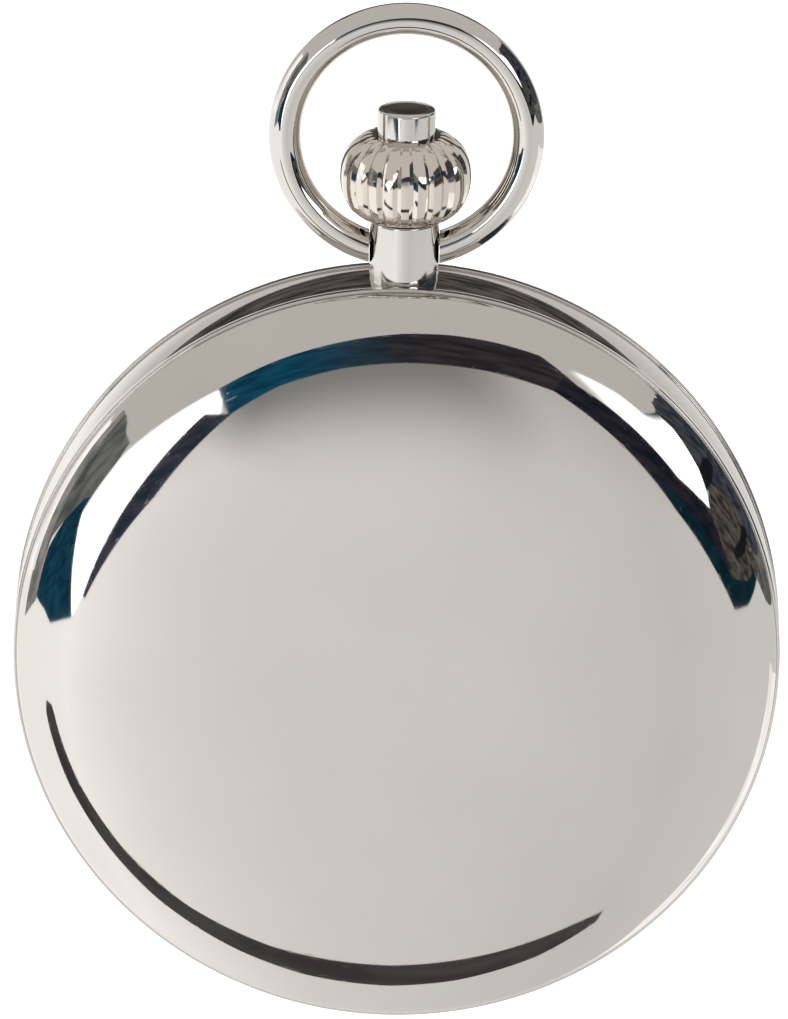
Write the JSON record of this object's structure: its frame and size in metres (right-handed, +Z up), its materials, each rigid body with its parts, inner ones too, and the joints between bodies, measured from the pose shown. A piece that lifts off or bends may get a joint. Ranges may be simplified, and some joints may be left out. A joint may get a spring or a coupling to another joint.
{
  "type": "hunter pocket watch",
  "caption": "Closed hunter pocket watch: polished domed covers hinged at 6 o'clock, ribbed crown with a push cap, round bow, mechanical movement.",
  "frame": {"origin": "the top of the bow's loop, where a chain's ring bears", "axes": "+Z up along the stem through the crown, -Y out of the front cover, +X to the right as seen from the front"},
  "size_m": [0.05, 0.013, 0.0685],
  "materials": {
    "case_metal": "mirror polish",
    "steel": "fine brushed",
    "blued_steel": "heat blued, polished",
    "gilt_brass": "gilt, satin",
    "nickel_plate": "nickelled, fine striped",
    "enamel": "white enamel",
    "crystal_glass": "clear polished",
    "gasket_rubber": "matte"
  },
  "bodies": {
    "bow": {"bow": "case_metal"},
    "case": {"case_middle": "case_metal", "front_hinge_pin": "steel", "back_hinge_pin": "steel", "bezel": "case_metal", "crystal_gasket": "gasket_rubber", "crystal": "crystal_glass", "movement_ring": "nickel_plate", "pendant_sleeve": "steel", "bow_screw_left": "steel", "bow_screw_right": "steel", "main_plate": "nickel_plate", "barrel_bridge": "nickel_plate", "barrel_bridge_screw_1": "blued_steel", "barrel_bridge_screw_2": "blued_steel", "train_bridge": "nickel_plate", "train_bridge_screw_1": "blued_steel", "train_bridge_screw_2": "blued_steel", "balance_cock": "nickel_plate", "balance_cock_screw_1": "blued_steel", "escape_bridge": "nickel_plate", "escape_bridge_screw_1": "blued_steel", "crown_wheel_stud": "steel", "click_spring": "steel", "dial": "enamel"},
    "front_cover": {"front_cover": "case_metal"},
    "back_cover": {"back_cover": "case_metal"},
    "winding_pinion": {"winding_pinion": "steel"},
    "crown": {"crown": "case_metal", "winding_stem": "steel"},
    "push_cap": {"push_cap": "case_metal"},
    "sliding_pinion": {"sliding_pinion": "steel"},
    "lock_spring": {"lock_spring": "steel"},
    "lift_spring": {"lift_spring": "steel"},
    "crown_wheel": {"crown_wheel": "steel"},
    "ratchet": {"ratchet_wheel": "steel", "barrel_arbor": "steel"},
    "click": {"click": "steel"},
    "setting_lever": {"setting_lever": "steel"},
    "yoke": {"yoke": "steel"},
    "barrel": {"barrel_drum": "gilt_brass", "barrel_cover": "gilt_brass", "mainspring": "blued_steel"},
    "centre": {"centre_wheel": "gilt_brass", "cannon_pinion": "steel", "minute_hand": "blued_steel"},
    "minute_wheel": {"minute_wheel": "gilt_brass"},
    "hour": {"hour_wheel": "gilt_brass", "hour_hand": "blued_steel"},
    "third": {"third_wheel": "gilt_brass"},
    "fourth": {"fourth_wheel": "gilt_brass", "seconds_hand": "blued_steel"},
    "escape": {"escape_wheel": "steel"},
    "pallet": {"pallet_fork": "steel"},
    "balance": {"balance_wheel": "gilt_brass", "hairspring": "blued_steel"}
  },
  "joints": [
    {"name": "bow_swing", "type": "hinge", "parent": "bow", "child": "case", "pos_m": [0, 0, -0.01393], "axis": [1, 0, 0], "range_deg": [-90, 90]},
    {"name": "front_cover_open", "type": "hinge", "parent": "case", "child": "front_cover", "pos_m": [0, -0.0023, -0.06593], "axis": [1, 0, 0], "range_deg": [0, 95]},
    {"name": "back_cover_open", "type": "hinge", "parent": "case", "child": "back_cover", "pos_m": [0, 0.0023, -0.06593], "axis": [1, 0, 0], "range_deg": [-95, 0]},
    {"name": "crown_turn", "type": "hinge", "parent": "case", "child": "winding_pinion", "pos_m": [0, 0, -0.02783], "axis": [0, 0, 1], "continuous": true},
    {"name": "crown_pull", "type": "slide", "parent": "winding_pinion", "child": "crown", "axis": [0, 0, 1], "range_m": [0, 0.0009]},
    {"name": "cap_push", "type": "slide", "parent": "crown", "child": "push_cap", "axis": [0, 0, 1], "range_m": [-0.0008, 0], "stiffness_N_per_m": 600, "springref_m": 0.0003},
    {"name": "sliding_pinion_shift", "type": "slide", "parent": "winding_pinion", "child": "sliding_pinion", "axis": [0, 0, 1], "range_m": [-0.0006, 0]},
    {"name": "lock_spring_flex", "type": "hinge", "parent": "case", "child": "lock_spring", "pos_m": [-0.01292, -0.0018, -0.02325], "axis": [0, -1, 0], "range_deg": [-1.6, 0]},
    {"name": "lift_spring_flex", "type": "hinge", "parent": "case", "child": "lift_spring", "pos_m": [0, 0, -0.06163], "axis": [1, 0, 0], "range_deg": [-4, 0]},
    {"name": "crown_wheel_turn", "type": "hinge", "parent": "case", "child": "crown_wheel", "pos_m": [0, 0.0023, -0.03083], "axis": [0, -1, 0], "continuous": true},
    {"name": "ratchet_turn", "type": "hinge", "parent": "case", "child": "ratchet", "pos_m": [-0.00594, 0.0023, -0.03549], "axis": [0, -1, 0], "continuous": true},
    {"name": "click_pivot", "type": "hinge", "parent": "case", "child": "click", "pos_m": [-0.01129, 0.0023, -0.03798], "axis": [0, -1, 0], "range_deg": [0, 12], "stiffness_Nm_per_rad": 0.0002, "springref_deg": -5.73},
    {"name": "setting_lever_pivot", "type": "hinge", "parent": "case", "child": "setting_lever", "pos_m": [0.00335, -0.0004, -0.02403], "axis": [0, -1, 0], "range_deg": [-20, 0]},
    {"name": "yoke_pivot", "type": "hinge", "parent": "case", "child": "yoke", "pos_m": [0.0033, 0, -0.02883], "axis": [0, -1, 0], "range_deg": [0, 18]},
    {"name": "barrel_turn", "type": "hinge", "parent": "case", "child": "barrel", "pos_m": [-0.00594, 0, -0.03549], "axis": [0, -1, 0], "continuous": true},
    {"name": "minute_hand_turn", "type": "hinge", "parent": "case", "child": "centre", "pos_m": [0, 0, -0.04143], "axis": [0, -1, 0], "continuous": true},
    {"name": "minute_wheel_turn", "type": "hinge", "parent": "case", "child": "minute_wheel", "pos_m": [0.00275, -0.0015, -0.0395], "axis": [0, -1, 0], "continuous": true},
    {"name": "hour_hand_turn", "type": "hinge", "parent": "case", "child": "hour", "pos_m": [0, -0.002, -0.04143], "axis": [0, -1, 0], "continuous": true},
    {"name": "third_wheel_turn", "type": "hinge", "parent": "case", "child": "third", "pos_m": [0.00402, 0, -0.04651], "axis": [0, -1, 0], "continuous": true},
    {"name": "seconds_hand_turn", "type": "hinge", "parent": "case", "child": "fourth", "pos_m": [0, 0, -0.05043], "axis": [0, -1, 0], "continuous": true},
    {"name": "escape_wheel_turn", "type": "hinge", "parent": "case", "child": "escape", "pos_m": [-0.00428, 0, -0.05216], "axis": [0, -1, 0], "continuous": true},
    {"name": "pallet_rock", "type": "hinge", "parent": "case", "child": "pallet", "pos_m": [-0.00702, 0.0008, -0.05071], "axis": [0, -1, 0], "range_deg": [-5, 5]},
    {"name": "balance_swing", "type": "hinge", "parent": "case", "child": "balance", "pos_m": [-0.01082, 0, -0.04869], "axis": [0, -1, 0], "range_deg": [-140, 140], "stiffness_Nm_per_rad": 0.0000003}
  ],
  "couplings": [
    {"joint": "third_wheel_turn", "follows": "seconds_hand_turn", "ratio": -0.13333},
    {"joint": "minute_hand_turn", "follows": "seconds_hand_turn", "ratio": 0.016667},
    {"joint": "barrel_turn", "follows": "seconds_hand_turn", "ratio": -0.0027778},
    {"joint": "minute_wheel_turn", "follows": "seconds_hand_turn", "ratio": -0.0055556},
    {"joint": "hour_hand_turn", "follows": "seconds_hand_turn", "ratio": 0.0013889},
    {"joint": "escape_wheel_turn", "follows": "seconds_hand_turn", "ratio": -10},
    {"joint": "crown_wheel_turn", "follows": "crown_turn", "ratio": 0.58333},
    {"joint": "ratchet_turn", "follows": "crown_turn", "ratio": -0.4375},
    {"joint": "setting_lever_pivot", "follows": "crown_pull", "rad_per_m": -384},
    {"joint": "yoke_pivot", "follows": "crown_pull", "rad_per_m": 342},
    {"joint": "sliding_pinion_shift", "follows": "crown_pull", "ratio": -0.6666},
    {"joint": "lock_spring_flex", "follows": "cap_push", "rad_per_m": 34},
    {"joint": "lift_spring_flex", "follows": "front_cover_open", "ratio": -0.042105}
  ]
}
